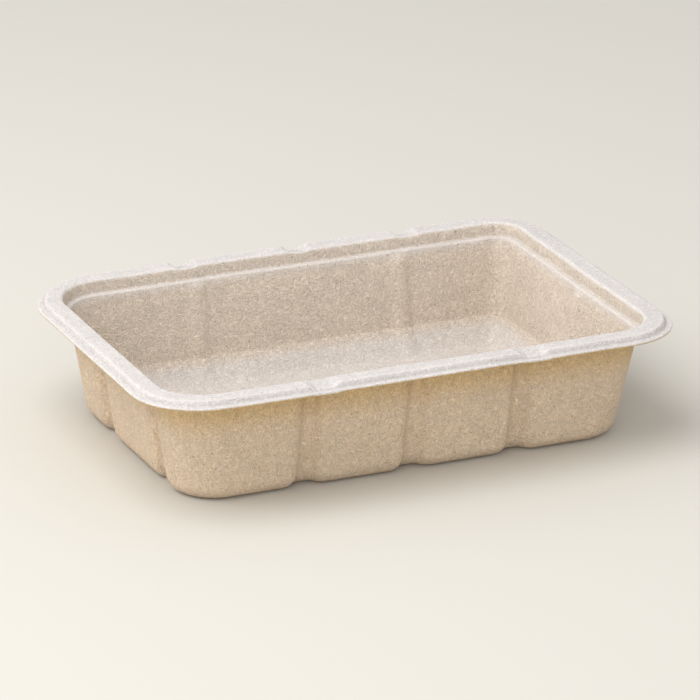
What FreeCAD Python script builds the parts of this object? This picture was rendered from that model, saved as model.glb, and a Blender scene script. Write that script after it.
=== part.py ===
import FreeCAD, Part
import Sketcher
import math
import os

# Moulded bagasse meal tray: one sheet of pressed pulp, with a stepped rim,
# drafted walls, upright grooves pressed in from outside and a flat base.
# Millimetres. X runs along the tray, Y across it, Z up, origin under the middle of the base.

doc = FreeCAD.newDocument("meal_tray")

# ---------------------------------------------------------------- driving sizes
SIZES = [
    ("tray_length", 228.0),             # over the lip
    ("tray_width", 161.0),
    ("tray_height", 49.0),              # base to the top of the raised band
    ("rim_corner_radius", 27.5),        # outer edge of the lip, seen from above
    ("sheet_thickness", 1.2),

    ("lip_width", 2.2),                 # flat outer lip
    ("slope_run", 1.3),                 # slope from the lip up to the band
    ("band_rise", 1.9),                 # band above the lip
    ("rim_width", 11.0),                # lip edge to the band's inner edge
    ("band_inner_round", 2.2),
    ("slope_round", 0.6),

    ("step_drop", 5.4),                 # band down to the ledge
    ("step_draft", 10.0),               # degrees from upright
    ("ledge_width", 2.2),
    ("ledge_round", 0.6),

    ("wall_draft", 8.0),                # degrees from upright
    ("base_corner_radius", 14.0),       # outside, seen from above, where the base round begins
    ("base_round", 7.5),                # outside, wall to base

    ("groove_depth", 3.4),              # square to the wall
    ("groove_shoulder_radius", 4.8),
    ("groove_floor_radius", 3.0),
    ("groove_shoulder_lift", 0.12),     # the shoulders begin this far off the wall
    ("groove_arch", 8.0),               # height of the arch that closes a groove
    ("groove_arch_gap", 1.5),           # arch to the underside of the ledge
    ("groove_bend", 60.0),              # degrees that a groove's tool turns out of the wall
    ("front_groove_pitch", 45.0),
    ("back_groove_pitch", 90.0),
    ("back_groove_shift", 6.0),
    ("left_groove_pitch", 56.0),
    ("left_groove_shift", -7.0),
    ("right_groove_shift", -4.0),

    ("notch_floor_width", 5.0),         # dips across the raised band
    ("notch_end_run", 2.4),
    ("notch_bite", 0.3),                # floor of a dip below the lip's own top face
    ("front_notch_pitch", 90.0),
    ("back_notch_pitch", 49.0),
    ("back_notch_shift", 7.0),
]

sheet = doc.addObject("Spreadsheet::Sheet", "Sizes")
for row, (alias, value) in enumerate(SIZES, start=1):
    sheet.set("A%d" % row, alias)
    sheet.set("B%d" % row, str(value))
    sheet.setAlias("B%d" % row, alias)
doc.recompute()


def cells(text):
    """Turn @name in an expression into a reference to that cell of the sheet."""
    return "(" + text.replace("@", "Sizes.") + ")"


# ---------------------------------------------------------------- lengths that follow
# An inset is measured level, inwards from the outer edge of the lip.
LIP_TOP = "(@tray_height - @band_rise)"
LIP_UNDER = "(@tray_height - @band_rise - @sheet_thickness)"
BAND_UNDER = "(@tray_height - @sheet_thickness)"
LEDGE_TOP = "(@tray_height - @step_drop)"
WALL_TOP = "(@tray_height - @step_drop - @sheet_thickness)"
SLOPE_MITRE = "(@sheet_thickness * tan(atan(@band_rise / @slope_run) / 2))"
STEP_LEAN = "tan(@step_draft * 1deg)"
STEP_SHEET = "(@sheet_thickness / cos(@step_draft * 1deg))"
STEP_FOOT = "(@rim_width + @step_drop * " + STEP_LEAN + ")"
WALL_LEAN = "tan(@wall_draft * 1deg)"
WALL_SHEET = "(@sheet_thickness / cos(@wall_draft * 1deg))"
ARCH_RADIUS = "((@groove_arch ^ 2 - @groove_depth ^ 2) / (2 * @groove_depth))"
ARCH_FOOT = "(%s - @groove_arch_gap - @groove_arch * cos(@wall_draft * 1deg))" % WALL_TOP
NOTCH_FLOOR = "(@tray_height - @band_rise - @notch_bite)"
NOTCH_RISE = "(@band_rise + @notch_bite)"
NOTCH_CLEAR = "@band_rise"              # how far the notch tool stands above the band
BAR_OUTER = "(@lip_width + 0.4 * @slope_run)"           # inside the slope's own sheet
BAR_INNER = "(@rim_width - @sheet_thickness / 3)"       # inside the step's own sheet


def wall_inset(height, skin):
    """Inset of the drafted wall at a height, for its inner or its outer skin."""
    inner = "(%s + @ledge_width + (%s - %s) * %s)" % (STEP_FOOT, LEDGE_TOP, height, WALL_LEAN)
    return inner if skin == "inner" else "(%s - %s)" % (inner, WALL_SHEET)


# ---------------------------------------------------------------- sketches
# A sketch is first drawn at a rough size; its dimensions then pull it to the sheet's values.
ROUGH = 10.0
CLOSE = 0.01                            # two places nearer than this are the same place
ALONG = FreeCAD.Vector(1, 0, 0)
OUTWARDS = FreeCAD.Vector(0, -1, 0)
UP = FreeCAD.Vector(0, 0, 1)


def origin_item(body, role):
    """One of a body's own planes or axes."""
    return [item for item in body.Origin.OriginFeatures if item.Role == role][0]


def place(item, support, spin, offset=("0", "0", "0")):
    """Lay a sketch or plane on a support, turned and then moved on it."""
    item.AttachmentSupport = [(support, "")]
    item.MapMode = "FlatFace"
    item.AttachmentOffset = FreeCAD.Placement(FreeCAD.Vector(), spin)
    for direction, text in zip("xyz", offset):
        item.setExpression("AttachmentOffset.Base." + direction, cells(text))


def new_sketch(body, name, role, offset=("0", "0", "0")):
    """A sketch on one of the body's own origin planes."""
    sketch = body.newObject("Sketcher::SketchObject", name)
    place(sketch, origin_item(body, role), FreeCAD.Rotation(), offset)
    return sketch


def drive(sketch, kind, where, text):
    """A dimension of a sketch, bound to the sheet."""
    number = sketch.addConstraint(Sketcher.Constraint(kind, *where))
    sketch.setExpression("Constraints[%d]" % number, cells(text))


def tie(sketch, kind, *where):
    sketch.addConstraint(Sketcher.Constraint(kind, *where))


def draw_polygon(sketch, corners):
    """A closed polygon; each corner is placed by two dimensions from the origin."""
    count = len(corners)
    turns = [2 * math.pi * i / count for i in range(count)]
    spots = [FreeCAD.Vector(math.cos(turn), math.sin(turn), 0) * ROUGH for turn in turns]
    for i in range(count):
        sketch.addGeometry(Part.LineSegment(spots[i], spots[(i + 1) % count]), False)
    for i in range(count):
        tie(sketch, "Coincident", i, 2, (i + 1) % count, 1)
    for i, (across, up) in enumerate(corners):
        drive(sketch, "DistanceX", (-1, 1, i, 1, spots[i].x), across)
        drive(sketch, "DistanceY", (-1, 1, i, 1, spots[i].y), up)


def arc(x, y, radius, start, end):
    """An arc, anticlockwise, by its centre and two angles in degrees."""
    circle = Part.Circle(FreeCAD.Vector(x, y, 0), FreeCAD.Vector(0, 0, 1), radius)
    return Part.ArcOfCircle(circle, math.radians(start), math.radians(end))


def draw_rounded_rectangle(sketch, half_length, half_width, radius):
    """Lines and arcs in turn, anticlockwise from the front line, centred on the origin."""
    far_x, far_y, r = 6 * ROUGH, 4 * ROUGH, ROUGH
    arcs = [
        arc(far_x - r, r - far_y, r, -90, 0),
        arc(far_x - r, far_y - r, r, 0, 90),
        arc(r - far_x, far_y - r, r, 90, 180),
        arc(r - far_x, r - far_y, r, 180, 270),
    ]
    for i in range(4):
        sketch.addGeometry(Part.LineSegment(arcs[i - 1].EndPoint, arcs[i].StartPoint), False)
        sketch.addGeometry(arcs[i], False)
    for i in range(8):
        tie(sketch, "Tangent", i, 2, (i + 1) % 8, 1)
    for i in (0, 4):
        tie(sketch, "Horizontal", i)
        tie(sketch, "Vertical", i + 2)
    for i in (3, 5, 7):
        tie(sketch, "Equal", 1, i)
    tie(sketch, "Symmetric", 1, 3, 5, 3, -1, 1)
    drive(sketch, "Radius", (1, r), radius)
    drive(sketch, "DistanceX", (-1, 1, 2, 1, far_x), half_length)
    drive(sketch, "DistanceY", (-1, 1, 4, 1, far_y), half_width)


def draw_groove_section(sketch, swell):
    """Section square to a groove: two shoulders that leave the wall, and a round floor.

    The wall line is the sketch's X axis and the groove goes in along Y.
    """
    size = sheet.get
    extra = 0 if swell == "0" else size(swell[1:])
    shoulder = size("groove_shoulder_radius") - extra
    floor = size("groove_floor_radius") + extra
    lift = size("groove_shoulder_lift")
    deep = size("groove_depth")
    span = shoulder + floor
    half = math.sqrt(span ** 2 - (span - deep - lift) ** 2)
    lean = math.degrees(math.acos(half / span))
    left, right = FreeCAD.Vector(-half, -lift, 0), FreeCAD.Vector(half, -lift, 0)
    out = FreeCAD.Vector(0, -deep, 0)
    edges = [
        arc(-half, shoulder - lift, shoulder, -90, -lean),
        arc(0, deep - floor, floor, lean, 180 - lean),
        arc(half, shoulder - lift, shoulder, 180 + lean, 270),
        Part.LineSegment(right, right + out),
        Part.LineSegment(right + out, left + out),
        Part.LineSegment(left + out, left),
    ]
    for edge in edges:
        sketch.addGeometry(edge, False)
    tie(sketch, "Tangent", 0, 2, 1, 2)
    tie(sketch, "Tangent", 1, 1, 2, 1)
    tie(sketch, "Coincident", 2, 2, 3, 1)
    tie(sketch, "Coincident", 3, 2, 4, 1)
    tie(sketch, "Coincident", 4, 2, 5, 1)
    tie(sketch, "Coincident", 5, 2, 0, 1)
    tie(sketch, "Vertical", 3)
    tie(sketch, "Vertical", 5)
    tie(sketch, "Horizontal", 4)
    tie(sketch, "Horizontal", 0, 1, 2, 2)
    tie(sketch, "PointOnObject", 1, 3, -2)
    tie(sketch, "Vertical", 0, 3, 0, 1)
    tie(sketch, "Vertical", 2, 3, 2, 2)
    tie(sketch, "Equal", 0, 2)
    drive(sketch, "Radius", (0, shoulder), "@groove_shoulder_radius - " + swell)
    drive(sketch, "Radius", (1, floor), "@groove_floor_radius + " + swell)
    drive(sketch, "DistanceY", (-1, 1, 0, 1, -lift), "-@groove_shoulder_lift")
    drive(sketch, "DistanceY", (-1, 1, 1, 3, deep - floor),
          "@groove_depth - @groove_floor_radius - " + swell)
    drive(sketch, "DistanceY", (-1, 1, 4, 1, -lift - deep), "-@groove_shoulder_lift - @groove_depth")


def draw_groove_path(sketch, rise, swell):
    """A groove's middle line, seen from the side: up the wall, then bent out of it.

    X points out of the tray and Y up, from the start of the groove on the wall.
    """
    lean, bend = math.radians(sheet.get("wall_draft")), sheet.get("groove_bend")
    low, high = FreeCAD.Vector(), FreeCAD.Vector(math.tan(lean), 1, 0) * 3 * ROUGH
    radius = ROUGH
    middle = high + FreeCAD.Vector(radius * math.cos(lean), -radius * math.sin(lean), 0)
    start = 180 - math.degrees(lean)
    sketch.addGeometry(Part.LineSegment(low, high), False)
    sketch.addGeometry(arc(middle.x, middle.y, radius, start - bend, start), False)
    tie(sketch, "Coincident", 0, 1, -1, 1)
    tie(sketch, "Tangent", 0, 2, 1, 2)
    drive(sketch, "DistanceX", (-1, 1, 0, 2, high.x), "%s * %s" % (rise, WALL_LEAN))
    drive(sketch, "DistanceY", (-1, 1, 0, 2, high.y), rise)
    drive(sketch, "Radius", (1, radius), "%s + %s" % (ARCH_RADIUS, swell))
    turned = "(@wall_draft + @groove_bend) * 1deg"
    top = "((%s + %s) * (sin(%s) - sin(@wall_draft * 1deg)))" % (ARCH_RADIUS, swell, turned)
    reached = sketch.Geometry[1].StartPoint
    drive(sketch, "DistanceY", (-1, 1, 1, 1, reached.y), "%s + %s" % (rise, top))


# ---------------------------------------------------------------- the two skins of the wall
def edges_where(shape, test):
    """Names of the edges whose middle point passes a test."""
    names = []
    for number, edge in enumerate(shape.Edges, start=1):
        middle = edge.valueAt((edge.FirstParameter + edge.LastParameter) / 2)
        if test(middle):
            names.append("Edge%d" % number)
    return names


def round_edges(body, name, radius, test):
    """A fillet on the edges of the body's tip that pass a test."""
    last = body.Tip
    fillet = body.newObject("PartDesign::Fillet", name)
    fillet.Base = (last, edges_where(last.Shape, test))
    fillet.setExpression("Radius", cells(radius))
    body.Tip = fillet
    doc.recompute()


def cut_grooves(body, side, skin, spots, turn, half_span, base, along):
    """Grooves of one wall: a section swept up the wall and out of it, then repeated.

    spots holds the first groove's place along the wall, the pitch and the count.
    """
    first, pitch, count = spots
    swell = "0" if skin == "outer" else "@sheet_thickness"
    name = "%s_%s" % (skin, side)
    below = "(%s - @sheet_thickness)" % base
    wall = "(%s - %s)" % (half_span, wall_inset(below, skin))
    x, y = {0: (first, "-" + wall), 180: (first, wall),
            -90: ("-" + wall, first), 90: (wall, first)}[turn]
    foot = body.newObject("PartDesign::Plane", name + "_foot")
    place(foot, origin_item(body, "XY_Plane"), FreeCAD.Rotation(UP, turn), (x, y, below))

    section = body.newObject("Sketcher::SketchObject", name + "_section")
    place(section, foot, FreeCAD.Rotation(ALONG, 1))
    section.setExpression("AttachmentOffset.Rotation.Angle", cells("@wall_draft * 1deg"))
    draw_groove_section(section, swell)
    path = body.newObject("Sketcher::SketchObject", name + "_path")
    place(path, foot, FreeCAD.Rotation(OUTWARDS, UP, FreeCAD.Vector(), "YXZ"))
    draw_groove_path(path, "(%s - %s)" % (ARCH_FOOT, below), swell)

    groove = body.newObject("PartDesign::SubtractivePipe", name + "_groove")
    groove.Profile = section
    groove.Spine = (path, ["Edge1", "Edge2"])
    body.Tip = groove
    if count > 1:
        row = body.newObject("PartDesign::LinearPattern", name + "_grooves")
        row.Originals = [groove]
        row.Direction = (origin_item(body, along), [""])
        row.Occurrences = count
        row.setExpression("Length", cells("%s * %d" % (pitch, count - 1)))
        body.Tip = row
    doc.recompute()


def wall_form(skin, base):
    """The solid block inside one skin of the wall, from a base height up to the ledge."""
    body = doc.addObject("PartDesign::Body", skin + "_form")
    outlines = []
    for name, height in (("foot", "@base_round"), ("top", WALL_TOP)):
        inset = wall_inset(height, skin)
        sketch = new_sketch(body, "%s_%s_outline" % (skin, name), "XY_Plane", ("0", "0", height))
        if name == "top":
            radius = "@rim_corner_radius - " + inset
        else:
            radius = "@base_corner_radius" + ("" if skin == "outer" else " - " + WALL_SHEET)
        draw_rounded_rectangle(
            sketch, "@tray_length / 2 - " + inset, "@tray_width / 2 - " + inset, radius)
        outlines.append(sketch)

    foot = body.newObject("PartDesign::Pad", skin + "_foot")
    foot.Profile = outlines[0]
    foot.setExpression("Length", cells("@base_round - " + base))
    foot.Reversed = True
    body.Tip = foot
    doc.recompute()
    sides = [
        "Face%d" % number for number, face in enumerate(foot.Shape.Faces, start=1)
        if abs(face.normalAt(0, 0).z) < CLOSE
    ]
    draft = body.newObject("PartDesign::Draft", skin + "_foot_draft")
    draft.Base = (foot, sides)
    draft.NeutralPlane = (outlines[0], [""])
    draft.Reversed = True
    draft.setExpression("Angle", cells("@wall_draft"))
    body.Tip = draft
    doc.recompute()

    radius = "@base_round" + ("" if skin == "outer" else " - @sheet_thickness")
    floor_height = min(corner.Z for corner in body.Shape.Vertexes)
    round_edges(body, skin + "_base_round", radius, lambda p: abs(p.z - floor_height) < CLOSE)

    block = body.newObject("PartDesign::AdditiveLoft", skin + "_block")
    block.Profile = outlines[0]
    block.Sections = outlines[1:]
    block.Ruled = True
    body.Tip = block
    doc.recompute()

    half_x = "@tray_length / 2"
    half_y = "@tray_width / 2"
    front = ("-@front_groove_pitch", "@front_groove_pitch", 3)
    back = ("(@back_groove_shift - @back_groove_pitch / 2)", "@back_groove_pitch", 2)
    left = ("(@left_groove_shift - @left_groove_pitch / 2)", "@left_groove_pitch", 2)
    right = ("@right_groove_shift", "0", 1)
    cut_grooves(body, "front", skin, front, 0, half_y, base, "X_Axis")
    cut_grooves(body, "back", skin, back, 180, half_y, base, "X_Axis")
    cut_grooves(body, "left", skin, left, -90, half_x, base, "Y_Axis")
    cut_grooves(body, "right", skin, right, 90, half_x, base, "Y_Axis")
    return body


outer_form = wall_form("outer", "0")
inner_form = wall_form("inner", "@sheet_thickness")

# ---------------------------------------------------------------- the rim
rim = doc.addObject("PartDesign::Body", "rim_form")

lip_line = new_sketch(rim, "lip_line", "XY_Plane")
draw_rounded_rectangle(lip_line, "@tray_length / 2", "@tray_width / 2", "@rim_corner_radius")

section = new_sketch(
    rim, "rim_section", "YZ_Plane", ("0", "0", "@rim_corner_radius - @tray_length / 2"))
draw_polygon(section, [("%s - @tray_width / 2" % inset, height) for inset, height in (
    ("0", LIP_UNDER),
    ("(@lip_width + %s)" % SLOPE_MITRE, LIP_UNDER),
    ("(@lip_width + @slope_run + %s)" % SLOPE_MITRE, BAND_UNDER),
    ("(@rim_width + @sheet_thickness * %s - %s)" % (STEP_LEAN, STEP_SHEET), BAND_UNDER),
    ("(%s + @sheet_thickness * %s - %s)" % (STEP_FOOT, STEP_LEAN, STEP_SHEET), WALL_TOP),
    (wall_inset(WALL_TOP, "outer"), WALL_TOP),
    (wall_inset(WALL_TOP, "inner"), WALL_TOP),
    (wall_inset(LEDGE_TOP, "inner"), LEDGE_TOP),
    (STEP_FOOT, LEDGE_TOP),
    ("@rim_width", "@tray_height"),
    ("(@lip_width + @slope_run)", "@tray_height"),
    ("@lip_width", LIP_TOP),
    ("0", LIP_TOP),
)])

ring = rim.newObject("PartDesign::AdditivePipe", "rim_ring")
ring.Profile = section
ring.Spine = (lip_line, ["Edge%d" % number for number in range(1, 9)])
rim.Tip = ring
doc.recompute()


def at_inset(inset, height):
    """A test for points on the rim at one inset from the lip line and one height."""
    half_x = sheet.get("tray_length") / 2 - sheet.get("rim_corner_radius")
    half_y = sheet.get("tray_width") / 2 - sheet.get("rim_corner_radius")

    def test(point):
        out = math.hypot(max(abs(point.x) - half_x, 0), max(abs(point.y) - half_y, 0))
        return (
            abs(sheet.get("rim_corner_radius") - out - inset) < CLOSE
            and abs(point.z - height) < CLOSE
        )

    return test


band_top = sheet.get("tray_height")
ledge_top = band_top - sheet.get("step_drop")
step_foot = sheet.get("rim_width") + sheet.get("step_drop") * math.tan(
    math.radians(sheet.get("step_draft")))
round_edges(rim, "band_inner_round", "@band_inner_round",
            at_inset(sheet.get("rim_width"), band_top))
round_edges(rim, "band_outer_round", "@slope_round",
            at_inset(sheet.get("lip_width") + sheet.get("slope_run"), band_top))
round_edges(rim, "ledge_foot_round", "@ledge_round", at_inset(step_foot, ledge_top))


def cut_notches(side, first, pitch, count):
    """Dips across the raised band: each is a bar under the band, then a cut through it."""
    slant = "(@notch_end_run / %s)" % NOTCH_RISE
    wrap = "(@sheet_thickness / sin(atan(%s / @notch_end_run)))" % NOTCH_RISE

    def half_width(height):
        return "(@notch_floor_width / 2 + %s * (%s - %s))" % (slant, height, NOTCH_FLOOR)

    def trapezium(name, low, high, extra, inset):
        depth = "(@tray_width / 2 - %s)" % inset
        place = (first, "0", depth if side == "front" else "-" + depth)
        sketch = new_sketch(rim, "%s_%s" % (side, name), "XZ_Plane", place)
        foot = "(%s + %s)" % (half_width(low), extra)
        head = "(%s + %s)" % (half_width(high), extra)
        draw_polygon(sketch, [("-" + foot, low), (foot, low), (head, high), ("-" + head, high)])
        return sketch

    near, far = (BAR_INNER, BAR_OUTER) if side == "front" else (BAR_OUTER, BAR_INNER)
    bar = rim.newObject("PartDesign::Pad", side + "_notch_bar")
    bar.Profile = trapezium("bar_section", LIP_UNDER, BAND_UNDER, wrap, near)
    bar.setExpression("Length", cells("abs(%s - %s)" % (near, far)))
    rim.Tip = bar
    doc.recompute()

    tool_height = "(@tray_height + %s)" % NOTCH_CLEAR
    inside = "(%s + @ledge_width)" % STEP_FOOT
    near = inside if side == "front" else "-@lip_width"
    dip = rim.newObject("PartDesign::Pocket", side + "_notch_dip")
    dip.Profile = trapezium("dip_section", NOTCH_FLOOR, tool_height, "0", near)
    dip.setExpression("Length", cells(inside + " + @lip_width"))
    dip.Reversed = True
    rim.Tip = dip
    doc.recompute()

    row = rim.newObject("PartDesign::LinearPattern", side + "_notches")
    row.Originals = [bar, dip]
    row.Direction = (origin_item(rim, "X_Axis"), [""])
    row.Occurrences = count
    row.setExpression("Length", cells("%s * %d" % (pitch, count - 1)))
    rim.Tip = row
    doc.recompute()


cut_notches("front", "(-@front_notch_pitch / 2)", "@front_notch_pitch", 2)
cut_notches("back", "(@back_notch_shift - @back_notch_pitch)", "@back_notch_pitch", 3)

# ---------------------------------------------------------------- one moulded sheet
walls = doc.addObject("Part::Cut", "walls")
walls.Base = outer_form
walls.Tool = inner_form

tray = doc.addObject("Part::MultiFuse", "meal_tray")
tray.Shapes = [walls, rim]
tray.Refine = True
tray.Label = "meal_tray"
tray.Placement = FreeCAD.Placement()
doc.recompute()

for item in doc.Objects:
    faults = [word for word in item.State if word in ("Invalid", "Error")]
    assert not faults, (item.Name, item.State)
assert not tray.Shape.isNull() and tray.Shape.isValid()
assert len(tray.Shape.Solids) == 1

os.makedirs("parts", exist_ok=True)
tray.Shape.exportStep("parts/meal_tray.step")
print("meal_tray", round(tray.Shape.Volume), "mm3,", len(tray.Shape.Faces), "faces")
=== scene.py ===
# %% [markdown]
# # A moulded bagasse meal tray
# Bagasse is the fibre that is left when sugar cane has been pressed. Wet fibre is drawn onto a
# wire mould, pressed hot and trimmed, and it comes out as one stiff sheet about a millimetre
# thick. This lesson builds that one sheet, gives it the dry, speckled look of pulp, and puts it
# on a plain pale floor. Everything is in metres, in the frame of a solid model of the tray that
# is there already: it gives the size, and it is never changed.

# %% Load the solid model as a fixed frame
import math

import bpy
import numpy as np
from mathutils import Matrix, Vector, noise


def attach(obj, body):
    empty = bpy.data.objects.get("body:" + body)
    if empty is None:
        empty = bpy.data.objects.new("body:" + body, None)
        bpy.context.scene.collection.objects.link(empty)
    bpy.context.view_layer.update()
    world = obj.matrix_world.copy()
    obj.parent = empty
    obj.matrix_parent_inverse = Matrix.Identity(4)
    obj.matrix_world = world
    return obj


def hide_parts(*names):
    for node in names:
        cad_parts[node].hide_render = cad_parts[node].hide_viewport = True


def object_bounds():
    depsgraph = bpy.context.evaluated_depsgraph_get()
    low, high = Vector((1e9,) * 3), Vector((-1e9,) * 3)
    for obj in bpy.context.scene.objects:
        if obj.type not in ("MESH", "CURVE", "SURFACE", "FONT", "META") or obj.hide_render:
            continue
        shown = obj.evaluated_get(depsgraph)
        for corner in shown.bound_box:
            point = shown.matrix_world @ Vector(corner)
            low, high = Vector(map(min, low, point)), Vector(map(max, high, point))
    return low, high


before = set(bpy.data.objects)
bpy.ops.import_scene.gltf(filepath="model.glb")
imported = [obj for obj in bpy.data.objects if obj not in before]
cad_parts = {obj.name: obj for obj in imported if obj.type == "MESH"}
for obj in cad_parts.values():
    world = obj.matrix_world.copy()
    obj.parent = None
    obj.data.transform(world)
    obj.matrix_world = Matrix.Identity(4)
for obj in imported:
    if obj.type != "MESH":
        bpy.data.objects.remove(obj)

cad_low, cad_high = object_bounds()
MM = 0.001
print("solid model, mm:", [round(v / MM, 1) for v in (cad_high - cad_low)])

# %% [markdown]
# ## The sizes of the tray
# The drawing of such a tray is a section through its edge, carried round a rounded rectangle.
# The numbers could be typed in wherever they are needed, but then one change of size would mean
# a hunt for all of them, so they are kept together. An inset is measured level, inwards from the
# outer edge of the lip, and a height from the table. The overall size comes from the solid
# model, so the two can't drift apart.

# %% Sizes, in millimetres
HALF_LENGTH = (cad_high.x - cad_low.x) / MM / 2
HALF_WIDTH = (cad_high.y - cad_low.y) / MM / 2
HEIGHT = cad_high.z / MM
SHEET = 1.2
LIP_CORNER = 27.5
LIP_WIDTH, SLOPE_RUN, BAND_RISE, RIM_WIDTH = 2.2, 1.3, 1.9, 11.0
STEP_DROP, LEDGE_WIDTH = 5.4, 2.2
STEP_DRAFT, WALL_DRAFT = math.radians(10), math.radians(8)
BASE_ROUND, BASE_CORNER = 6.8, 17.0                         # outside, at the foot of the wall
DISH_TOP, DISH_RUN, DISH_ROUND, DISH_CORNER = 11.6, 8.5, 9.0, 15.0    # inside, at the foot

LIP_TOP = HEIGHT - BAND_RISE
LEDGE_TOP = HEIGHT - STEP_DROP
WALL_TOP = LEDGE_TOP - SHEET
STEP_FOOT = RIM_WIDTH + STEP_DROP * math.tan(STEP_DRAFT)
WALL_HEAD = STEP_FOOT + LEDGE_WIDTH
print("ledge at", round(LEDGE_TOP, 1), "mm, wall starts", round(WALL_HEAD, 2), "mm from the edge")

# %% [markdown]
# ## A section with rounded corners
# A pressed edge has no sharp corner: the pulp bridges each corner of the mould. So the section
# is written as a few corners, each with the radius that rounds it, and one helper turns such a
# list into evenly spaced points. A curve object with a bevel could do it too, but then the
# grooves and dips that come later would have nothing to hold on to.

# %% Round the corners of a line
ARC_STEP = math.radians(15)             # the widest turn between two points of an arc


def rounded_corner(before, corner, after, radius):
    """Points on the arc that rounds one corner of a line."""
    to_before = (before - corner) / np.linalg.norm(before - corner)
    to_after = (after - corner) / np.linalg.norm(after - corner)
    half = math.acos(np.clip(to_before @ to_after, -1, 1)) / 2
    middle = to_before + to_after
    centre = corner + middle / np.linalg.norm(middle) * radius / math.sin(half)
    reach = radius / math.tan(half)
    first, final = corner + to_before * reach - centre, corner + to_after * reach - centre
    turn = math.pi - 2 * half
    count = max(2, math.ceil(turn / ARC_STEP))
    shares = np.linspace(0, 1, count + 1)
    return [centre + (first * math.sin((1 - share) * turn) + final * math.sin(share * turn))
            / math.sin(turn) for share in shares]


def rounded_line(corners):
    """Points along a line through corners (inset, height, radius, spacing before it)."""
    spots = [np.array(corner[:2], float) for corner in corners]
    points = [spots[0]]
    for i in range(1, len(corners)):
        radius, spacing = corners[i][2:]
        arc = rounded_corner(*spots[i - 1:i + 2], radius) if radius else [spots[i]]
        start, run = points[-1], arc[0] - points[-1]
        pieces = max(1, round(np.linalg.norm(run) / spacing))
        points += [start + run * (k / pieces) for k in range(1, pieces)] + arc
    return np.array(points)


print("a 2 mm round on a square corner:",
      len(rounded_corner(np.array([0, 9]), np.array([0, 0]), np.array([9, 0]), 2.0)), "points")

# %% [markdown]
# ## The section through the edge
# From outside in, the upper skin has a flat lip, a short slope, a raised band, a step down to a
# narrow ledge, the drafted wall, a wide round and the floor. The under skin could be had from a
# Solidify modifier, but that thins the sheet or folds it in tight rounds. Here it is a line of
# its own, with each straight part moved square to itself by one sheet, so slopes are as thick
# as flats. Along the inside foot the sheet is thicker, since wet pulp gathers there: the upper
# skin leaves the wall well above the floor and comes down in a round of its own.

# %% Upper and under skin
STEP_LEAN = math.tan(STEP_DRAFT)
STEP_LEVEL = SHEET / math.cos(STEP_DRAFT)
WALL_LEVEL = SHEET / math.cos(WALL_DRAFT)
SLOPE_MITRE = SHEET * math.tan(math.atan(BAND_RISE / SLOPE_RUN) / 2)
FLOOR_EDGE, FLOOR_MIDDLE = 34.0, 74.0


def wall_inset(height, under):
    """How far in the drafted wall is at a height, on the upper or the under skin."""
    return WALL_HEAD + (LEDGE_TOP - height) * math.tan(WALL_DRAFT) - (WALL_LEVEL if under else 0)


upper_section = rounded_line([          # inset, height, radius, spacing before it
    (0, LIP_TOP - SHEET / 2, 0, 1),
    (0, LIP_TOP, 0.5, 1),
    (LIP_WIDTH, LIP_TOP, 1.0, 0.8),
    (LIP_WIDTH + SLOPE_RUN, HEIGHT, 0.9, 0.8),
    (RIM_WIDTH, HEIGHT, 1.5, 1.1),
    (STEP_FOOT, LEDGE_TOP, 0.9, 0.7),
    (WALL_HEAD, LEDGE_TOP, 1.0, 0.6),
    (wall_inset(DISH_TOP, False), DISH_TOP, 1.2, 1.35),
    (wall_inset(DISH_TOP, False) + DISH_RUN, SHEET, DISH_ROUND, 1.2),
    (FLOOR_EDGE, SHEET, 0, 2.0),
    (FLOOR_MIDDLE, SHEET, 0, 6.0),
])
under_section = rounded_line([
    (0, LIP_TOP - SHEET / 2, 0, 1),
    (0, LIP_TOP - SHEET, 0.5, 1),
    (LIP_WIDTH + SLOPE_MITRE, LIP_TOP - SHEET, 0.9, 0.8),
    (LIP_WIDTH + SLOPE_RUN + SLOPE_MITRE, HEIGHT - SHEET, 0.9, 0.8),
    (RIM_WIDTH + SHEET * STEP_LEAN - STEP_LEVEL, HEIGHT - SHEET, 1.0, 2.0),
    (STEP_FOOT + SHEET * STEP_LEAN - STEP_LEVEL, WALL_TOP, 1.2, 1.3),
    (wall_inset(WALL_TOP, True), WALL_TOP, 0.6, 1),
    (wall_inset(0, True), 0, BASE_ROUND, 1.35),
    (FLOOR_EDGE, 0, 0, 2.5),
    (FLOOR_MIDDLE, 0, 0, 8.0),
])
print("section points: upper", len(upper_section), "under", len(under_section))

# %% [markdown]
# ## The grooves in the wall
# Thin pulp would buckle when the tray is lifted full, so the mould presses upright grooves into
# the wall from outside. They could be cut with a boolean, but that leaves a hard edge and a thin
# sheet. Here each point of the wall is pressed in by a depth that is worked out for its place.
# Seen from above, a groove is three arcs that run into each other: shoulder, floor, shoulder. It
# is deepest and widest at the foot, opens out where it runs into the base, and closes in a short
# arch under the rim. Inside the tray the same groove is a rib. There the shoulders lose one
# sheet of radius and the floor gains it, so the wall keeps its thickness round every bend.

# %% Grooves
GROOVES = {                             # places along each side, and which shape they have
    "front": ((-45.0, 0.0, 45.0), "deep"),
    "right": ((-4.0,), "shallow"),
    "back": ((-39.0, 51.0), "shallow"),
    "left": ((-35.0, 21.0), "deep"),
}
SHAPES = {                              # depth, shoulder, floor radius: at the foot, at the head
    "deep": ((4.4, 4.8, 4.6), (3.2, 3.2, 3.8)),
    "shallow": ((1.6, 2.6, 6.0), (1.4, 2.6, 6.0)),
}
ARCH_TOP, ARCH_HEIGHT, ARCH_SOFTNESS = 42.2, 3.0, 0.35
FOOT_SPREAD, FOOT_RISE = 1.8, 8.0       # how much wider a groove is at the table, and how far up


def soft_above_zero(value, softness):
    """The value where it is above zero and nothing below, with a soft change between."""
    return (value + np.sqrt(value * value + softness * softness)) / 2


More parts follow.
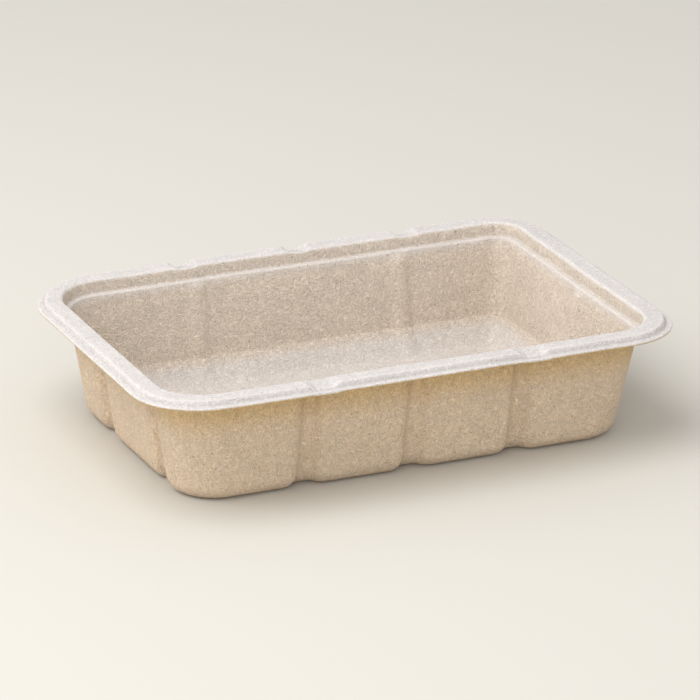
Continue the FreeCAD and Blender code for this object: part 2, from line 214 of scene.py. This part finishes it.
def groove_depth(along, height, side, under):
    """How far the wall is pressed in at places along one side, at one height."""
    spots, shape = GROOVES[side]
    share = min(max(height / WALL_TOP, 0), 1)
    depth, shoulder, floor = (foot + (head - foot) * share for foot, head in zip(*SHAPES[shape]))
    if not under:
        shoulder, floor = shoulder - SHEET, floor + SHEET
    span = shoulder + floor
    half = math.sqrt(span ** 2 - (span - depth) ** 2)
    spread = FOOT_SPREAD * max(1 - height / FOOT_RISE, 0) ** 2
    bow = (ARCH_HEIGHT ** 2 + depth ** 2) / (2 * depth)
    climb = min(max(height - (ARCH_TOP - ARCH_HEIGHT), 0), bow)
    lift = bow - math.sqrt(bow ** 2 - climb ** 2)
    total = np.zeros_like(along)
    for spot in spots:
        off = np.maximum(np.abs(along - spot) - spread, 0)
        crown = depth - floor + np.sqrt(np.maximum(floor ** 2 - off ** 2, 0))
        flank = shoulder - np.sqrt(np.maximum(shoulder ** 2 - (half - off) ** 2, 0))
        press = np.where(off < half * floor / span, crown, np.where(off < half, flank, 0))
        total += np.where(press > 0, soft_above_zero(press - lift, ARCH_SOFTNESS)
                          - soft_above_zero(-lift, ARCH_SOFTNESS), 0)
    return total


for height in (3.0, 20.0, 38.0):
    deepest = groove_depth(np.array([0.0]), height, "front", True)[0]
    print("front groove at", height, "mm up:", round(float(deepest), 2), "mm deep")

# %% [markdown]
# ## The dips in the rim
# A lid clips under the raised band of the rim, and a few dips across the band let steam out and
# a thumb in. A dip is like a little chute: at the band's outer edge it goes all the way down to
# the lip, and it runs out towards the inside. Behind the back dips the lip itself sinks as well.
# One end of a dip has a small ridge beside it, where a little pulp was pushed aside. A dent
# could be sculpted, but not three times the same. So the dips are worked out point by point, as
# the grooves are.

# %% Dips across the raised band
DIPS = {                                # middle, floor width, left run, right run
    "front": ((-44.0, 6.5, 3.2, 3.2), (45.0, 6.5, 3.2, 3.2)),
    "back": tuple((middle, 5.6, 2.0, 2.4) for middle in (-42.0, 8.0, 56.5)),
}
DIP_SOFTNESS = 0.12
LIP_SINK = {"front": 0.2, "back": 1.3}  # how far the lip itself sinks in a dip
DIP_TILT = {"front": 0.9, "back": 0.8}  # how much of the drop is gone at the band's inner edge
RIDGE_HEIGHT, RIDGE_PLACE, RIDGE_WIDTH = 0.15, 0.7, 1.1


def dip_drop(along, inset, height, side):
    """How far the rim is lowered at places along one side, on one ring."""
    inwards = min(max((inset - LIP_WIDTH) / (RIM_WIDTH - LIP_WIDTH), 0), 1)
    raised = min(max((height - LIP_TOP) / BAND_RISE, 0), 1)
    drop = (LIP_SINK[side] + BAND_RISE * raised) * (1 - DIP_TILT[side] * inwards)
    if inset > RIM_WIDTH - 1:           # from here down the step, what is left of it fades out
        drop *= min(max((height - LEDGE_TOP) / STEP_DROP, 0), 1)
    total = np.zeros_like(along)
    for middle, width, left_run, right_run in DIPS[side]:
        past = (np.maximum(middle - width / 2 - along, 0) / left_run
                + np.maximum(along - middle - width / 2, 0) / right_run)
        beside = (along - middle + width / 2 + left_run + RIDGE_PLACE) / RIDGE_WIDTH
        total += (drop * soft_above_zero(1 - past, DIP_SOFTNESS)
                  - RIDGE_HEIGHT * raised * np.exp(-beside ** 2))
    return total


print("dips in the lip, mm:", LIP_SINK, "and across the band, mm:", BAND_RISE)

# %% [markdown]
# ## Columns round the tray
# The section is repeated in many columns round the tray. Even columns would have to be very
# close together everywhere to catch the grooves. Instead they stand close together where a
# groove or a dip needs them, and further apart on plain stretches, so the mesh stays light.

# %% Places of the columns
SIDES = [                               # name, the way the columns run, and the way outwards
    ("front", (1, 0), (0, -1)),
    ("right", (0, 1), (1, 0)),
    ("back", (-1, 0), (0, 1)),
    ("left", (0, -1), (-1, 0)),
]
COLUMNS = {"front": 150, "right": 84, "back": 150, "left": 84}
EXTRA_COLUMNS, EXTRA_REACH = 1.8, 6.0   # how many times more of them near a form, and how near
FINE_STEPS = 4001


def column_shares(side, way):
    """Shares from -1 to 1 along one side, closer together near its grooves and dips."""
    reach = (HALF_LENGTH if way[0] else HALF_WIDTH) - LIP_CORNER
    spots = list(GROOVES[side][0]) + [dip[0] for dip in DIPS.get(side, ())]
    fine = np.linspace(-1, 1, FINE_STEPS)
    density = np.ones_like(fine)
    for spot in spots:
        density += EXTRA_COLUMNS * np.exp(-((fine * reach - spot * sum(way)) / EXTRA_REACH) ** 2)
    total = np.concatenate([[0], np.cumsum((density[1:] + density[:-1]) / 2)])
    return np.interp(np.linspace(0, total[-1], COLUMNS[side] + 1), total, fine)


shares = {side: column_shares(side, way) for side, way, out in SIDES}
print("columns:", {side: len(places) for side, places in shares.items()})

# %% [markdown]
# ## The corners
# Seen from above, a tray's corners get tighter from the lip to the foot, and each skin has its
# own radius so that the sheet runs evenly between them. Pulp shrinks as it dries, and never
# quite evenly: one back corner is rounder than the front ones, most of all at the lip, and the
# other is tighter. A perfect rounded rectangle would be simpler, but it would look like plastic.
# So each corner adds its own few millimetres to the radius.

# %% Corner radii
UNEVEN = {                              # the corner after each side: extra at the lip, at the foot
    "front": (0, 3),
    "right": (-3, -7),
    "back": (10, 3),
    "left": (0, 3),
}
UNEVEN_INSET = 20.0                     # from here inwards the second number holds
TIGHTEST_CORNER = 2.5


def corner_radius(inset, under):
    """Radius of the tray's corners on one ring of the upper or under skin."""
    start, foot = (BASE_ROUND, BASE_CORNER) if under else (DISH_TOP, DISH_CORNER)
    head_inset, foot_inset = wall_inset(WALL_TOP, under), wall_inset(start, under)
    if inset <= head_inset:
        return LIP_CORNER - inset
    if inset <= foot_inset:
        head = LIP_CORNER - head_inset
        return head + (foot - head) * (inset - head_inset) / (foot_inset - head_inset)
    return foot - (inset - foot_inset)


def corner_radii(inset, under):
    """Radius of each of the four corners on one ring, by the side that comes before it."""
    share = min(inset / UNEVEN_INSET, 1)
    return {side: max(corner_radius(inset, under) + lip + (foot - lip) * share, TIGHTEST_CORNER)
            for side, (lip, foot) in UNEVEN.items()}


print("corner radii at the lip, mm:", corner_radii(0, False))

# %% [markdown]
# ## One ring of the tray
# A ring is one point of the section, carried round all four sides and corners. On the wall it is
# pressed in by the grooves, and on the rim it is lowered by the dips. A modifier with a curve
# could carry the section round, but it couldn't tell wall from rim. On the flat floor the
# grooves fade out before the rings get small.

# %% Rings
CORNER_COLUMNS = 20
GROOVE_FADE = 8.0                       # over this much of the floor the grooves fade out


def ring(inset, height, under):
    """One ring of points round the tray: an array of x, y, z in millimetres."""
    half = np.array([HALF_LENGTH - inset, HALF_WIDTH - inset])
    on_wall = height < LEDGE_TOP and inset > WALL_HEAD - 2 * SHEET
    fade = min(max((FLOOR_EDGE - inset) / GROOVE_FADE, 0), 1)
    radii = corner_radii(inset, under)
    rows = []
    for number, (side, way, out) in enumerate(SIDES):
        way, out = np.array(way), np.array(out)
        before, radius = radii[SIDES[number - 1][0]], radii[side]
        away, length = half @ np.abs(out), half @ np.abs(way)
        walk = np.interp(shares[side], [-1, 1], [before - length, length - radius])
        along = walk * way.sum()
        level = np.full_like(walk, height)
        if on_wall:
            away = away - groove_depth(along, height, side, under) * fade
        elif side in DIPS:
            level = level - dip_drop(along, inset, height + (SHEET if under else 0), side)
        flat = np.outer(walk, way) + np.outer(away * np.ones_like(walk), out)
        rows.append(np.column_stack([flat, level]))
        turns = np.linspace(0, math.pi / 2, CORNER_COLUMNS + 1)[1:-1]
        middle = (half - radius) * (way + out)
        flat = middle + radius * (np.outer(np.cos(turns), out) + np.outer(np.sin(turns), way))
        rows.append(np.column_stack([flat, np.full_like(turns, height)]))
    return np.concatenate(rows)


columns = len(ring(0, LIP_TOP, False))
print("columns round the tray:", columns)

# %% [markdown]
# ## The wander of the sheet
# Pressed pulp is never quite true: it dries unevenly, so faces undulate by a tenth or two of a
# millimetre and edges waver. A Displace modifier would push the two skins apart or together.
# Here both get the same slow wander, so the sheet keeps its thickness, and the base stays flat
# where it stands on the table. The noise has a seed, so the tray is the same each time.

# %% Wander, and the rings of both skins
WANDER = ((34.0, 0.22), (9.0, 0.08), (3.5, 0.035))      # size of the swells and their height
WANDER_PLACE = (7.7, 3.1)
WANDER_SEED = 5                         # without it the noise would start from the clock
GROUNDED, FREE_ABOVE = 0.05, 6.0        # up to the first height nothing lifts, then more and more


def wander(points):
    """A slow, small shift of each point, the same on both skins."""
    moved = points.copy()
    for i, (x, y, z) in enumerate(points):
        shift = Vector()
        for number, (size, amount) in enumerate(WANDER):
            start = Vector((*WANDER_PLACE, number))
            shift += noise.noise_vector(Vector((x, y, z)) / size + start) * amount
        free = min(1.0, max(0.0, (z - GROUNDED) / FREE_ABOVE))
        moved[i] = (x + shift.x, y + shift.y, z + shift.z * free)
    return moved


noise.seed_set(WANDER_SEED)
upper = [ring(inset, height, False) for inset, height in upper_section[::-1]]
under = [ring(inset, height, True) for inset, height in under_section[1:]]
points = wander(np.concatenate(upper + under))
print("rings: upper", len(upper), "under", len(under), "and points:", len(points))

# %% [markdown]
# ## The sheet
# The tray is one sheet with a trimmed edge, so its two skins are one closed surface. It starts
# in the middle of the floor inside, runs up the wall, over the rim, round the edge of the lip
# and back under to the middle of the base. Faces join each ring to the next, and one flat face
# closes each end. Two separate skins would be quicker to write, but they would gape at the lip.

# %% Build the mesh
rows = len(upper) + len(under)
faces = []
for row in range(rows - 1):
    here, beyond = row * columns, (row + 1) * columns
    for i in range(columns):
        j = (i + 1) % columns
        faces.append((here + j, here + i, beyond + i, beyond + j))
faces.append(tuple(range(columns)))
faces.append(tuple(reversed(range((rows - 1) * columns, rows * columns))))

mesh = bpy.data.meshes.new("pulp_tray")
mesh.from_pydata([tuple(point * MM) for point in points], [], faces)
mesh.validate()
mesh.polygons.foreach_set("use_smooth", [True] * len(mesh.polygons))
mesh.calc_loop_triangles()
print("rings:", rows, "triangles:", len(mesh.loop_triangles))

# %% [markdown]
# ## Where the sheet is pressed, and where light and shade are painted
# On the real tray the rim is pressed smooth. Over that, the tone paints a highlight along the
# edges of the rim and a shade in its creases, so that its lines show. The finish could be
# painted on by hand, but the section already knows where every edge is. So each ring keeps
# three numbers: whether it is on the outside, how much it belongs to the rim, and whether it
# gets a painted highlight on an edge (above nothing) or a painted shade in a crease (below
# nothing). The tables say how these change with the inset, and between two entries the number
# changes evenly.

# %% Numbers kept on the mesh for the finish
RIM = (                                 # inset and share: the rim, the step, the ledge, the wall
    (0, 1), (RIM_WIDTH - 0.2, 1), (RIM_WIDTH + 0.3, 0.15), (STEP_FOOT, 0.15),
    (STEP_FOOT + 0.5, 0.75), (WALL_HEAD, 0.75), (WALL_HEAD + 0.6, 0),
)
# painted highlight where the amount is above nothing, painted shade where it is below
EDGE = (                                # inset and amount: lip, slope, band, step and ledge
    (0, 0.8), (0.9, 0.3), (1.7, -0.2), (2.4, -1), (3.1, 0), (3.8, 0.8), (4.8, 0), (9.6, 0),
    (10.7, 0.8), (11.3, 0), (STEP_FOOT, -0.6), (WALL_HEAD - 0.6, 0.2), (WALL_HEAD, 0.5),
    (15.5, 0),
)


def keep(name, of_upper, of_under):
    """Keep one number for each ring on all the points of that ring."""
    kept = mesh.attributes.new(name, "FLOAT", "POINT")
    kept.data.foreach_set("value", np.repeat(np.append(of_upper, of_under), columns))


upper_insets = upper_section[::-1, 0]
keep("outside", np.zeros(len(upper)), np.ones(len(under)))
keep("rim", np.interp(upper_insets, *zip(*RIM)), np.zeros(len(under)))
keep("edge", np.interp(upper_insets, *zip(*EDGE)), np.zeros(len(under)))
print("kept on the mesh:", [kept.name for kept in mesh.attributes if kept.data_type == "FLOAT"])

# %% [markdown]
# ## The piece
# The sheet becomes an object. It rides on the solid model's only body and stands in for its one
# solid, because the real tray is moulded as one thing.

# %% Put the tray in its place
tray = bpy.data.objects.new("pulp_tray", mesh)
bpy.context.collection.objects.link(tray)
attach(tray, "root")
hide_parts("meal_tray")
print("piece:", tray.name, "size, mm:", [round(v / MM, 1) for v in tray.dimensions])

# %% [markdown]
# ## The look of pulp
# The finish is built from patterns that are fixed in the material, in millimetres. Close up,
# pressed pulp is a felt of short fibres, so the surface has a fine wormy relief. A few fibres
# lie on top, paler or browner than the rest, and bits of cane skin show as small brown specks.
# Over wide areas the tone drifts a little, where the fibre was drawn on thicker. Images wrapped
# round the tray could show all this too, but they would stretch at the corners, while patterns
# in space run straight through them. A few helpers add shader nodes and wire them, to keep the
# recipe short enough to read.

# %% Helpers for shader nodes
pulp = bpy.data.materials.new("bagasse_pulp")
pulp.use_nodes = True
recipe = pulp.node_tree
shader = recipe.nodes["Principled BSDF"]


def add(kind, sockets, **options):
    """Add a shader node, set its options, and fill its sockets with values or links."""
    made = recipe.nodes.new("ShaderNode" + kind)
    for name, value in options.items():
        setattr(made, name, value)
    for name, value in sockets.items():
        if isinstance(value, bpy.types.NodeSocket):
            recipe.links.new(value, made.inputs[name])
        else:
            made.inputs[name].default_value = value
    return made


def calc(operation, first, second):
    """One step of arithmetic between two sockets or numbers."""
    return add("Math", {0: first, 1: second}, operation=operation).outputs[0]


def blend(share, first, second):
    """Mix two colours by a share."""
    return add("Mix", {0: share, 6: first, 7: second}, data_type="RGBA").outputs[2]


def ramp(value, low, high, start, end):
    """Smoothly rescale a value from one range to another."""
    sockets = {"Value": value, "From Min": low, "From Max": high, "To Min": start, "To Max": end}
    return add("MapRange", sockets, interpolation_type="SMOOTHSTEP").outputs[0]


print("empty material:", pulp.name)

# %% [markdown]
# ### Coordinates
# The patterns follow the piece's own coordinates, scaled so that one unit is a millimetre, and
# a size in the recipe is then a size on the tray. A first noise bends them slightly. Without
# that bend the fibres would lie as straight as combed hair; with it, they curl.

# %% Coordinates in millimetres
CURL_SCALE, CURL = 0.4, 2.4             # how fine the bend is, and how strong

place = add("TexCoord", {}).outputs["Object"]
at = add("VectorMath", {0: place, "Scale": 1 / MM}, operation="SCALE").outputs[0]
drift = add("TexNoise", {"Vector": at, "Scale": CURL_SCALE, "Detail": 1.0}).outputs["Color"]
drift = add("VectorMath", {0: drift, 1: (0.5, 0.5, 0.5)}, operation="SUBTRACT").outputs[0]
drift = add("VectorMath", {0: drift, "Scale": CURL}, operation="SCALE").outputs[0]
curled = add("VectorMath", {0: at, 1: drift}, operation="ADD").outputs[0]
height_up = add("SeparateXYZ", {0: at}).outputs["Z"]
# edge carries the painted highlight on the rim's edges and the painted shade in its creases
skin, on_rim, edge = (add("Attribute", {}, attribute_name=name).outputs["Fac"]
                      for name in ("outside", "rim", "edge"))
print("pattern unit:", MM, "m")

# %% [markdown]
# ### The felt
# Felt is fibres that lie across each other. Thousands of modelled hairs would be too heavy, and
# a noise that is stretched along one direction looks like a bundle of them. Several bundles are
# turned different ways, and the highest one wins at each place, so that they seem to cross. A
# plain fine grain breaks them up. The Mapping node is in Texture mode, which turns first and
# stretches then. In Point mode it is the other way round, and every bundle would be stretched
# the same way.

# %% Felt of fibres
BUNDLES = (                             # how each bundle is turned, in radians
    (0, 0.1, 0.2), (0, 0.75, 0.3), (0, -0.8, -0.2), (0, 1.5, 0.1), (0.1, 0.2, 1.5),
    (0, 0.8, 1.5), (0, -0.7, 1.7),
)
BUNDLE_SCALE, BUNDLE_STRETCH = 1.5, 3.0
GRAIN_SCALE, GRAIN_SHARE = 2.2, 0.3
LUMP_SCALE = 0.16                       # lumps are wide and low, a few millimetres across


def laid(turn, stretch):
    """The curled coordinates, turned and then stretched along one direction."""
    return add("Mapping", {"Vector": curled, "Rotation": turn, "Scale": (stretch, 1.0, 1.0)},
               vector_type="TEXTURE").outputs[0]


def bundle(turn):
    """A noise stretched along one direction, like fibres laid side by side."""
    return add("TexNoise", {"Vector": laid(turn, BUNDLE_STRETCH), "Scale": BUNDLE_SCALE,
                            "Detail": 1.0, "Roughness": 0.5}).outputs["Fac"]


strands = bundle(BUNDLES[0])
for turn in BUNDLES[1:]:
    strands = calc("MAXIMUM", strands, bundle(turn))
grain = add("TexNoise", {"Vector": at, "Scale": GRAIN_SCALE, "Detail": 3.0,
                         "Roughness": 0.6}).outputs["Fac"]
lumps = add("TexNoise", {"Vector": at, "Scale": LUMP_SCALE, "Detail": 3.0}).outputs["Fac"]
felt = calc("ADD", strands, calc("MULTIPLY", grain, GRAIN_SHARE))
print("bundles of fibre:", len(BUNDLES))

# %% [markdown]
# ### Loose fibres and specks
# A few fibres lie loose on the surface, and bits of the cane's skin stay in the pulp as specks.
# Both could be scattered as small meshes, but a cell pattern does it in the material: each cell
# has a core, and only the cores of a few cells are kept. Stretched cells give fibres: four pale
# layers and a brown one, each turned its own way. Unstretched cells give round specks, in two
# sizes.

# %% Fibres and specks
FIBRE_SCALE, FIBRE_STRETCH, FIBRE_RADIUS = 1.3, 5.0, 0.3
PALE_TURNS = ((0.4, 0.9, 0.2), (1.1, 0.2, 1.3), (0.3, 1.4, 2.4), (0.9, 2.5, 0.7))
BROWN_TURN = (2.2, 0.5, 1.9)
PALE_KEPT, BROWN_KEPT, SPECKS_KEPT = 0.2, 0.05, 0.3     # the share of cells that is kept
SPECKS = ((0.5, 0.18), (0.95, 0.21))                    # scale of the cells, radius in a cell
CORE_EDGE = 0.6                                         # from this share of its radius it fades


def cores(vector, scale, kept, radius):
    """The cores of some cells of a cell pattern: 1 in the middle, 0 outside."""
    cells = add("TexVoronoi", {"Vector": vector, "Scale": scale})
    near = ramp(cells.outputs["Distance"], radius * CORE_EDGE, radius, 1.0, 0.0)
    chance = add("SeparateColor", {0: cells.outputs["Color"]}).outputs[0]
    return calc("MULTIPLY", near, calc("LESS_THAN", chance, kept))


def fibres(turn, kept):
    """Thin cores of cells that are stretched along one direction."""
    return cores(laid(turn, FIBRE_STRETCH), FIBRE_SCALE, kept, FIBRE_RADIUS)


pale_fibres = fibres(PALE_TURNS[0], PALE_KEPT)
for turn in PALE_TURNS[1:]:
    pale_fibres = calc("MAXIMUM", pale_fibres, fibres(turn, PALE_KEPT))
brown_fibres = fibres(BROWN_TURN, BROWN_KEPT)
specks = calc("MAXIMUM", *(cores(at, scale, SPECKS_KEPT, radius) for scale, radius in SPECKS))
print("speck sizes, mm:", [round(2 * radius / scale, 2) for scale, radius in SPECKS])

# %% [markdown]
# ### The tone
# The rim is pressed hardest and faces the light, so it looks the palest; its tone is the least
# yellow, partly its own and partly a painted cool light. The floor inside is next, cleaner than
# the walls round it. The outside, which lay against the wire, is the warmest: partly its own
# tone and partly a painted warm bounce light. Just under the rim it gets a painted shade, darker
# and warmer still. One colour for all would look like card, and painting by hand would have to
# be done again after each change of shape. So the zones come from the height and from the
# numbers kept on the mesh.

# %% Tone
# the rim's tone: partly its own, partly a painted cool light
RIM_TONE_AND_COOL_LIGHT = (0.578, 0.543, 0.523, 1)
WALL_TONE = (0.735, 0.63, 0.52, 1)
FLOOR_TONE = (0.651, 0.594, 0.546, 1)
# the outside's tone: partly its own, partly a painted warm bounce light
OUTSIDE_TONE_AND_WARM_BOUNCE = (0.775, 0.613, 0.45, 1)
# a painted shade under the rim, darker and warmer than the outside
UNDER_RIM_PAINTED_SHADE = (0.72, 0.515, 0.27, 1)
SPECK_TONE = (0.27, 0.17, 0.09, 1)
PALE_TONE = (0.82, 0.78, 0.72, 1)
BROWN_TONE = (0.42, 0.31, 0.2, 1)
FLOOR_FADE = 4.5                        # from the top of the dish down, wall turns into floor
# between these heights the painted shade under the rim comes in
UNDER_RIM_SHADE_FROM, UNDER_RIM_SHADE_TO = 25.0, LEDGE_TOP - 2    # between these the outside gets warmer

low_down = ramp(height_up, DISH_TOP - FLOOR_FADE, DISH_TOP, 1.0, 0.0)
on_floor = calc("MULTIPLY", low_down, calc("SUBTRACT", 1.0, skin))
tone = blend(on_floor, WALL_TONE, FLOOR_TONE)
# the rim gets its own tone with a painted cool light in it
tone = blend(on_rim, tone, RIM_TONE_AND_COOL_LIGHT)
# painted shade: the outside gets darker and warmer towards the rim above it
under_rim_shade = ramp(height_up, UNDER_RIM_SHADE_FROM, UNDER_RIM_SHADE_TO, 0.0, 1.0)
tone = blend(skin, tone, blend(under_rim_shade, OUTSIDE_TONE_AND_WARM_BOUNCE, UNDER_RIM_PAINTED_SHADE))
print("tones: rim", RIM_TONE_AND_COOL_LIGHT[:3], "inside", WALL_TONE[:3], "outside", OUTSIDE_TONE_AND_WARM_BOUNCE[:3])

# %% [markdown]
# ### Shade, fibres and specks
# No zone is even. Wide and middling patches drift round its tone, where the fibre was drawn on
# thicker or thinner. The felt is the fibre's grain, and its tone also carries a painted shade in
# its creases and a painted highlight on its strands. Along the lip, the band, the step and the
# ledge the tone paints a highlight on each edge and a shade in each crease. All of these are
# small shares that are added up and then darken or lighten the tone, which keeps its hue. Loose
# fibres and specks have a colour of their own, so they are blended in last. The floor inside was
# pressed smoother, and its specks are fainter.

# %% Shade, fibres and specks over the tone
PATCH_SCALE = 0.04
PATCH_SHADE, LUMP_SHADE, PAINTED_EDGE_LIGHT_AND_SHADE = 0.025, 0.02, 0.12
NOISE_LOW, NOISE_HIGH = 0.3, 0.7        # nearly all of a plain noise lies between these
FELT_LOW, FELT_HIGH = 0.7, 0.93         # and of the felt between these
# painted shade in the felt's creases and painted highlight on its strands
PAINTED_CREASE_SHADE, PAINTED_STRAND_LIGHT = -0.12, 0.14
PALE_SHARE, BROWN_SHARE, SPECK_SHARE, FLOOR_SPECK_SHARE = 0.45, 0.5, 0.68, 0.42

patches = add("TexNoise", {"Vector": at, "Scale": PATCH_SCALE, "Detail": 3.0}).outputs["Fac"]
shade = calc("ADD", ramp(patches, NOISE_LOW, NOISE_HIGH, 1 - PATCH_SHADE, 1 + PATCH_SHADE),
             ramp(lumps, NOISE_LOW, NOISE_HIGH, -LUMP_SHADE, LUMP_SHADE))
# the felt's grain, with a painted shade in its creases and a painted highlight on its strands
shade = calc("ADD", shade, ramp(felt, FELT_LOW, FELT_HIGH, PAINTED_CREASE_SHADE, PAINTED_STRAND_LIGHT))
# painted highlight along the rim's edges and painted shade in its creases
shade = calc("ADD", shade, calc("MULTIPLY", edge, PAINTED_EDGE_LIGHT_AND_SHADE))
tone = add("VectorMath", {0: tone, "Scale": shade}, operation="SCALE").outputs[0]
tone = blend(calc("MULTIPLY", pale_fibres, PALE_SHARE), tone, PALE_TONE)
tone = blend(calc("MULTIPLY", brown_fibres, BROWN_SHARE), tone, BROWN_TONE)
speck_share = ramp(on_floor, 0.0, 1.0, SPECK_SHARE, FLOOR_SPECK_SHARE)
tone = blend(calc("MULTIPLY", specks, speck_share), tone, SPECK_TONE)
recipe.links.new(tone, shader.inputs["Base Color"])
print("shade from", 1 + PAINTED_CREASE_SHADE, "in a crease to", 1 + PAINTED_STRAND_LIGHT, "on a strand")

# %% [markdown]
# ### The relief
# Real fibres stand up by less than a tenth of a millimetre, too fine to be modelled, so a bump
# does it. The same felt drives the bump and the tone, so light and dark lie where the relief
# is. It is a few times deeper than the real one, because from two metres away a true one
# wouldn't be seen. The rim and the floor inside were pressed smoother and get less. Loose fibres
# stand a little proud. Dry pulp has no shine, so the roughness is high and the same all over.

# %% Relief
FIBRE_RELIEF, LUMP_RELIEF = 0.12, 0.6
FULL_DEPTH, RIM_DEPTH = 1.4 * MM, 0.4 * MM
FLOOR_SMOOTHNESS = 0.55                 # how far the floor inside is towards the rim

relief = calc("ADD", felt, calc("MULTIPLY", pale_fibres, FIBRE_RELIEF))
relief = calc("ADD", relief, calc("MULTIPLY", lumps, LUMP_RELIEF))
smooth = calc("MAXIMUM", on_rim, calc("MULTIPLY", on_floor, FLOOR_SMOOTHNESS))
depth = ramp(smooth, 0.0, 1.0, FULL_DEPTH, RIM_DEPTH)
bump = add("Bump", {"Height": relief, "Strength": 1.0, "Distance": depth})
recipe.links.new(bump.outputs["Normal"], shader.inputs["Normal"])
shader.inputs["Roughness"].default_value = 0.92
shader.inputs["Specular IOR Level"].default_value = 0.25
mesh.materials.append(pulp)
print("material nodes:", len(recipe.nodes))

# %% [markdown]
# ## The floor
# The tray stands on a table in a studio. One large pale plane is enough for it: it keeps the
# tray's shadow and fades off far behind, so no wall or curved backdrop is needed.

# %% Floor
FLOOR_SIZE = 12                         # metres
FLOOR_COLOUR = (0.585, 0.562, 0.51, 1)

bpy.ops.mesh.primitive_plane_add(size=FLOOR_SIZE)
floor = bpy.context.object
floor.name = "studio_floor"
pale = bpy.data.materials.new("pale_floor")
pale.use_nodes = True
pale_shader = pale.node_tree.nodes["Principled BSDF"]
pale_shader.inputs["Base Color"].default_value = FLOOR_COLOUR
pale_shader.inputs["Roughness"].default_value = 0.9
floor.data.materials.append(pale)
print("floor:", floor.name)

# %% [markdown]
# ## The light
# Matt pulp needs soft light, with shadows that only hint at the form. A sun would be too hard.
# The main light is a wide lamp above and a little to the left. A second one stands in front, to
# the left, and a third at the left makes the left wall brighter than the front one. A bright
# even surround fills the shadows. All are white, so the tones come out about as they were mixed.

# %% Light
SURROUND = 0.78
LAMPS = (                               # name, place in metres, width in metres, watts
    ("overhead", (-0.55, -0.1, 1.15), 1.2, 12.5),
    ("fill", (-0.7, -1.4, 0.5), 1.2, 5.5),
    ("side", (-1.3, 0.6, 0.5), 0.8, 4),
)

scene = bpy.context.scene
scene.view_settings.view_transform = "Standard"
world = bpy.data.worlds.new("studio")
world.use_nodes = True
surround = world.node_tree.nodes["Background"]
surround.inputs["Color"].default_value = (1, 1, 1, 1)
surround.inputs["Strength"].default_value = SURROUND
scene.world = world
for name, spot, size, power in LAMPS:
    lamp = bpy.data.lights.new(name, "AREA")
    lamp.shape = "DISK"
    lamp.size = size
    lamp.energy = power
    holder = bpy.data.objects.new(name, lamp)
    bpy.context.collection.objects.link(holder)
    holder.location = spot
    holder.rotation_euler = (-Vector(spot)).to_track_quat("-Z", "Y").to_euler()
print("lamps:", len(bpy.data.lights))

# %% [markdown]
# ## The camera
# One looks a little down into the tray, past its front left corner. A camera close by would
# stretch the near corner, so it stands two metres off with a long lens. Its place is given by
# two angles and a distance from the spot it looks at, since those are easier to judge than
# three coordinates.

# %% Camera
AZIMUTH, ELEVATION, DISTANCE = math.radians(-23.62), math.radians(20.37), 2.046
TARGET = Vector((-0.0175, -0.0404, 0.0464))

back = Vector((math.sin(AZIMUTH) * math.cos(ELEVATION),
               -math.cos(AZIMUTH) * math.cos(ELEVATION), math.sin(ELEVATION)))
camera_data = bpy.data.cameras.new("camera")
camera_data.sensor_width = 36.0
camera_data.lens = 269.2
camera = bpy.data.objects.new("camera", camera_data)
bpy.context.collection.objects.link(camera)
camera.location = TARGET + back * DISTANCE
camera.rotation_euler = (-back).to_track_quat("-Z", "Y").to_euler()
scene.camera = camera
print("camera, mm:", [round(v / MM) for v in camera.location])
